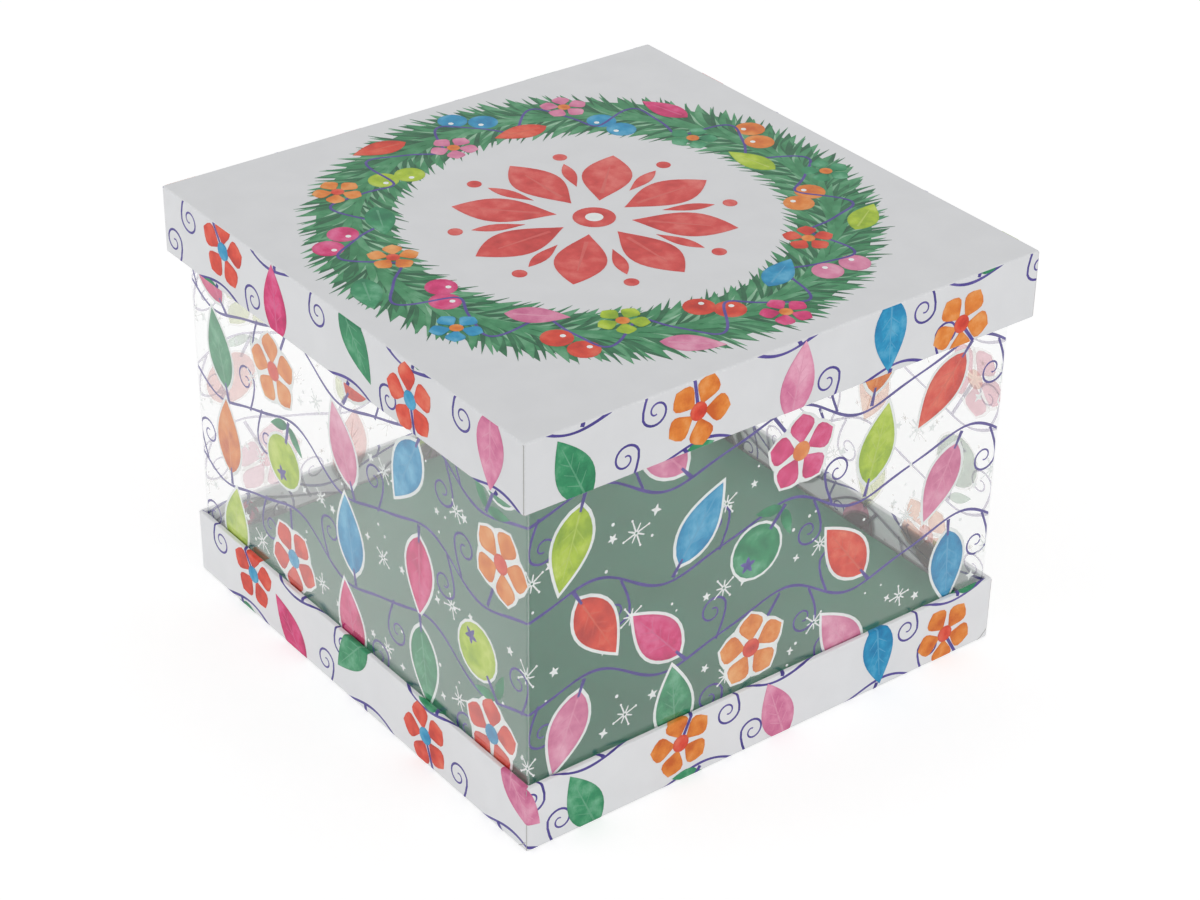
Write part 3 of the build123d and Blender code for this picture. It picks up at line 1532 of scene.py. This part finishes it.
@dataclass
class Lid(Tray):
    """The lid: its wrap, its walls' print and the garland and rosette on its top.

    ring is the garland's radius, and leaves how many pairs of leaves each of its rounds has.
    """

    leaves: int = 60
    ring: float = 88.0

    def build(self) -> None:
        """Builds every piece of the lid's dress."""
        self.wrap("lid_wrap", 0)
        self.print_walls()
        self.cut_edges_and_shade()
        self.garland()
        self.rosette()

    def on_top(self, x: float, y: float, out: float) -> Vector:
        """Carries a place on the flat print onto the top of the lid."""
        return Vector((x, y, self.form.closed + out)) * MM

    def around(self, radius: float, turn: float, heading: float) -> Spot:
        """A spot on a circle, headed by an angle from the circle's run."""
        place = Vector((math.cos(turn), math.sin(turn))) * radius
        return Spot(place.x, place.y, turn + math.pi / 2 + heading)

    def garland(self) -> None:
        """A ring garland of willow leaves with berries, buds and flowers set evenly in it."""
        sheet = FlatSheet(Backing.PAPER)
        motifs = Motifs(sheet)
        draws = random.Random(23)
        self.undercoat(motifs)
        # The leaves' ink and layer, splay from the ring in radians, length, width, and shift
        # along it in shares of a leaf.
        rounds = (
            (Ink.PINE, Layer.HALO, 0.66, 27.0, 6.4, 0.0),
            (Ink.MOSS, Layer.UNDER, 0.92, 23.0, 5.0, 0.5),
            (Ink.PINE, Layer.LOWER, 0.42, 26.5, 5.0, 0.25),
            (Ink.MOSS, Layer.MIDDLE, 0.74, 25.5, 3.0, 0.75),
            (Ink.SAGE, Layer.UPPER, 0.58, 22.0, 1.7, 0.5),
            (Ink.PINE, Layer.OVER, 0.98, 23.5, 1.8, 0.1),
            (Ink.MOSS, Layer.TOP, 0.22, 20.0, 3.2, 0.6),
        )
        for ink, layer, splay, length, width, shift in rounds:
            for count in range(self.leaves):
                for side in (-1, 1):
                    turn = (count + shift + 0.25 * side) * math.tau / self.leaves
                    heading = -side * (splay + draws.uniform(-0.06, 0.06))
                    spot = self.around(self.ring + side * 0.8, turn, heading)
                    grown = length * draws.uniform(0.92, 1.08)
                    wash = Wash(ink, layer, draws.uniform(0.3, 0.62))
                    motifs.blade(spot, grown, width, wash, (8, 2), sway=side * 1.2)
        self.set_in(motifs, draws)
        sheet.carried("lid_print_garland", self.name, self.on_top)

    def undercoat(self, motifs: Motifs) -> None:
        """Lays the even wash of green under the garland's leaves.

        Args:
            motifs: what draws the garland.
        """

        def band(s: float, t: float) -> Vector:
            """A place on a flat ring."""
            radius = self.ring + 13.5 * (2 * s - 1)
            return Vector((radius * math.cos(math.pi * t), radius * math.sin(math.pi * t), 0))

        motifs.sheet.patch(band, (2, 180), Wash(Ink.MOSS, Layer.STEM, 0.22))

    def set_in(self, motifs: Motifs, draws: random.Random) -> None:
        """Sets the berries, buds and flowers in the garland, on a thread that winds round it.

        Args:
            motifs: what draws the garland.
            draws: its random draws.
        """
        places = 30
        wave = Wave(math.tau / places * 2, 8.5)

        def thread(s: float) -> Vector:
            """A place on the thread."""
            turn = s * math.tau
            return self.around(self.ring + wave.rise(turn), turn, 0).at(0, 0)

        motifs.sheet.stroke(thread, lambda s: 1.1, 360, Wash(Ink.PURPLE, Layer.BODY, 0.5))
        for count in range(places):
            turn = (count + 0.5) * math.tau / places
            out = 1 if count % 2 == 0 else -1
            ink = BRIGHTS[(2 * count + count // 7) % len(BRIGHTS)]
            tone = draws.uniform(0.36, 0.56)
            wash = Wash(ink, Layer.BODY, tone)
            radius = self.ring + out * 7.5
            kind = count % 3
            if kind == 0:
                spot = self.around(radius + out * 1.5, turn, draws.uniform(-0.3, 0.3))
                heart = Ink.ORANGE if ink is not Ink.ORANGE else Ink.RED
                motifs.flower(spot, 19.5, ink, heart, tone)
            elif kind == 1:
                spot = self.around(radius, turn - 0.1, -out * 0.3)
                motifs.blade(spot, 23, 11.2, wash)
                motifs.line(spot, (3, 17), (0.9, 0.36), 3, Wash(ink, Layer.MARK, 1.0))
            else:
                for step in (-1, 1):
                    spot = self.around(radius + 3.4 * step, turn + 0.052 * step, 0)
                    motifs.disc(spot, 5.9, wash, 18)
                    motifs.disc(spot.moved(1.8, 1.8), 1.1, SHINE, 8)

    def rosette(self) -> None:
        """A coral rosette of eight petals in the middle of the ring."""
        sheet = FlatSheet(Backing.PAPER)
        motifs = Motifs(sheet)
        draws = random.Random(5)
        middle = Spot(0, 0)
        for spoke in middle.fan(8):
            wash = Wash(Ink.CORAL, Layer.BODY, draws.uniform(0.36, 0.56))
            between = spoke.turned(math.tau / 16)
            motifs.blade(spoke.moved(14), 39, 19, wash, (14, 6), fullness=1.15)
            motifs.blade(between.moved(26), 20, 5.2, wash, (8, 2), fullness=1.2)
            motifs.disc(between.moved(52), 2.8, wash, 16)
            motifs.line(spoke, (20, 43), (1.6, 0.48), 3, Wash(Ink.CORAL, Layer.MARK, 1.0))
        motifs.disc(middle, 8, Wash(Ink.CORAL, Layer.BODY, 0.42), 28)
        motifs.disc(middle, 3.4, SHINE, 18)
        sheet.carried("lid_print_rosette", self.name, self.on_top)


@dataclass
class Base(Tray):
    """The base: its wrap and its walls' print."""

    turned_under: float = 15.0

    def build(self) -> None:
        """Builds every piece of the base's dress."""
        self.wrap("base_wrap", self.form.half - self.turned_under)
        self.print_walls()
        self.cut_edges_and_shade()
        self.painted_corner_crease_shade()

    def painted_corner_crease_shade(self) -> None:
        """Painted shade along the short crease that the paper has across the foot of each corner.
        """
        edge = self.form.half - self.form.fold * 0.9
        for side in Side:
            sheet = FlatSheet(Backing.PAPER)
            sheet.stroke(
                lambda s: Vector((edge - 4.2 * (1 - s), 0.45 + 3.6 * s**1.3, 0)),
                lambda s: 0.22 + 0.1 * s,
                5,
                CUT_LINE_AND_SHADE,
            )
            self.lay(sheet, "crease", side)


@dataclass
class Sleeve:
    """The clear sleeve's print, on the inner face of the film and round its folds.

    low and high are the levels between which it is printed.
    """

    half: float
    film: float
    fold: float
    low: float
    high: float
    pattern: VinePrint

    def build(self) -> None:
        """Prints each wall up to the middle of its folds."""
        straight = self.half - self.fold
        arc = self.fold * math.pi / 4
        pitch = 2 * (straight + arc)
        for side in Side:
            sheet = FlatSheet(Backing.FILM)
            middle = side.value * pitch
            self.pattern.draw(sheet, middle - pitch / 2, middle + pitch / 2)
            sheet.split((0, self.low), (0, -1), trim=True)
            sheet.split((0, self.high), (0, 1), trim=True)
            for sign in (-1, 1):
                # The film's two ends meet at one corner, where neither is folded to the other.
                seam = (side, sign) in ((Side.NORTH, 1), (Side.WEST, -1))
                end = straight if seam else straight + arc
                sheet.split((sign * end, 0), (sign, 0), trim=True)
                for share in () if seam else (0, 0.5):
                    sheet.split((sign * (straight + arc * share), 0), (1, 0))
            self.lay(sheet, side)

    def lay(self, sheet: FlatSheet, side: Side) -> None:
        """Carries a wall's print to the inner face of the film.

        Args:
            sheet: the print.
            side: the wall.
        """
        inner, straight = self.half - self.film, self.half - self.fold
        sheet.carried(
            f"sleeve_print_{side.name.lower()}",
            "base",
            lambda x, y, z: side.round_fold(x, y, inner + z, straight, self.fold),
        )


# The studio


@dataclass(frozen=True)
class Softbox:
    """A square studio lamp: where it stands, how wide it is and how bright."""

    name: str
    place: tuple[float, float, float]
    width: float
    power: float

    def light(self) -> None:
        """Stands the lamp up, turned to the box."""
        data = bpy.data.lights.new(self.name, "AREA")
        data.shape, data.size, data.energy = "SQUARE", self.width, self.power
        lamp = put(self.name, data)
        lamp.location = self.place
        aim = Vector((0, 0, 0.08)) - Vector(self.place)
        lamp.rotation_euler = aim.to_track_quat("-Z", "Y").to_euler()


@dataclass(frozen=True)
class Studio:
    """A plain white room with soft lamps, and the camera where the photographer's stood."""

    softboxes: tuple[Softbox, ...] = (
        Softbox("softbox_left", (-0.7, -1.7, 0.42), 0.9, 9.4),
        Softbox("softbox_right", (1.75, 0.35, 0.42), 0.9, 8.4),
        Softbox("softbox_above", (-0.2, 0.4, 1.9), 1.4, 4.3),
    )
    ambient: float = 0.60

    def floor(self) -> None:
        """Lays the pale floor that the box stands on."""
        mesh = bmesh.new()
        bmesh.ops.create_grid(mesh, x_segments=8, y_segments=8, size=6)
        floor = modelled("studio_floor", mesh, [STUDIO_FLOOR])

    def world(self) -> None:
        """Fills the room with even light, seen as white."""
        world = bpy.data.worlds.new("white_room")
        bpy.context.scene.world = world
        world.use_nodes = True
        tree = world.node_tree
        tree.nodes.clear()
        ends = (self.ambient, 1.0)
        strength = add_node(tree, "ShaderNodeMapRange", inputs=(looked_at(tree), 0, 1, *ends))
        light = {"Color": FULL_WHITE, "Strength": strength}
        room = add_node(tree, "ShaderNodeBackground", inputs=light)
        add_node(tree, "ShaderNodeOutputWorld", inputs={"Surface": room})

    def camera(self) -> None:
        """Stands the camera at the photograph's angle, as fitted to the box's corners."""
        width, height = 1200, 900
        turn, tilt, roll = (math.radians(a) for a in (51.6166, 31.2912, 1.2347))
        focal, middle_x, middle_y = 2825.32, 631.92, 446.84
        half_lid = 115 * MM
        back = Vector(
            (math.sin(turn) * math.cos(tilt), -math.cos(turn) * math.cos(tilt), math.sin(tilt))
        )
        right = Vector((math.cos(turn), math.sin(turn), 0))
        up = back.cross(right)
        across = right * math.cos(roll) + up * math.sin(roll)
        upright = up * math.cos(roll) - right * math.sin(roll)
        data = bpy.data.cameras.new("camera")
        data.sensor_width = 36
        data.lens = focal / width * data.sensor_width
        data.shift_x = (width / 2 - middle_x) / width
        data.shift_y = (middle_y - height / 2) / width
        data.clip_start, data.clip_end = 0.05, 40
        camera = put("camera", data)
        turned = Matrix((across, upright, back)).transposed().to_4x4()
        stand = Vector((6.4086, -4.9031, 5.5346)) * half_lid
        camera.matrix_world = Matrix.Translation(stand) @ turned
        bpy.context.scene.camera = camera

    def build(self) -> None:
        """Builds the floor, the lamps and the camera."""
        self.floor()
        self.world()
        for softbox in self.softboxes:
            softbox.light()
        self.camera()
        bpy.context.scene.view_settings.view_transform = "Standard"
        # A look at the far wall and the light that falls on it cross up to 20 faces of film.
        bpy.context.scene.cycles.transparent_max_bounces = 24


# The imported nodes' finishes, and the whole put together

NODE_FINISHES: dict[str, Finish] = {
    "lid_board": GREY_BOARD,
    "lid_corner_stays": GUMMED_TAPE,
    "lid_wrap": LID_PAPER,
    "lid_liner": PLAIN_SHEET,
    "base_board": GREY_BOARD,
    "base_corner_stays": GUMMED_TAPE,
    "base_wrap": BASE_PAPER_PAINTED_LIGHTER,
    "base_bottom_sheet": PLAIN_SHEET,
    "floor_board": GREY_BOARD,
    "floor_cover": GREEN_COVER,
    "floor_risers": GREY_BOARD,
    "clear_sleeve": CLEAR_FILM,
    "sleeve_seam_tape": CLEAR_TAPE,
    "sleeve_foot_tapes": CLEAR_TAPE,
}


def dress_nodes(nodes: dict[str, bpy.types.Object]) -> None:
    """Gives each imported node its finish.

    Args:
        nodes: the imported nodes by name.
    """
    for name, node in nodes.items():
        if not node.material_slots:
            node.data.materials.append(None)
        for slot in node.material_slots:
            slot.material = NODE_FINISHES[name].material()
        LOG.info("%s: %s", name, NODE_FINISHES[name].name)


def lid_dress() -> Lid:
    """Sizes the lid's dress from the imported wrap, with its inks inside that size.

    Returns:
        The dress.
    """
    low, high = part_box("lid_wrap")
    inks = 0.12
    form = TrayForm(
        half=high.x / MM - inks,
        closed=high.z / MM - inks,
        rim=low.z / MM + inks,
        wall=2.05 - 2 * inks,
        turn_in=17.8,
        opens=-1,
        fold=1.0 - inks,
        rim_fold=0.5 - inks,
    )
    pattern = VinePrint(rows=(-3.0, 30.5), wave=88, swing=5.6, motif=36, seed=11)
    return Lid("lid", form, paper=0.02, coat=LID_PAPER, pattern=pattern, printed_to=15)


def base_dress() -> Base:
    """Sizes the base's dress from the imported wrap.

    Returns:
        The dress.
    """
    low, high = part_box("base_wrap")
    form = TrayForm(
        half=high.x / MM,
        closed=low.z / MM,
        rim=high.z / MM,
        wall=2.05,
        turn_in=21.9,
        opens=1,
    )
    pattern = VinePrint(rows=(-2.0, 31.5, 65.0), wave=88, swing=5.6, motif=36, seed=31)
    return Base("base", form, paper=0.12, coat=BASE_PAPER_PAINTED_LIGHTER, pattern=pattern, printed_to=13)


def sleeve_dress() -> Sleeve:
    """Sizes the sleeve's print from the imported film, with ten waves round it.

    Returns:
        The print.
    """
    low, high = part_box("clear_sleeve")
    fold, film, margin = 1.2, 0.4, 3
    half = high.x / MM
    run = 8 * (half - fold + fold * math.pi / 4)
    pattern = VinePrint(
        rows=(19, 57, 95, 133), wave=run / 10, swing=6.5, motif=39, seed=47, halo=1.15, snow=True
    )
    return Sleeve(half, film, fold, low.z / MM + margin, high.z / MM - margin, pattern)


def main() -> None:
    """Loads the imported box, dresses it and sets up the studio."""
    logging.basicConfig(level=logging.INFO, format="%(name)s %(message)s")
    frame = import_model()
    dress_nodes(frame["nodes"])
    lid_dress().build()
    base_dress().build()
    sleeve_dress().build()
    Studio().build()


if __name__ == "__main__":
    main()
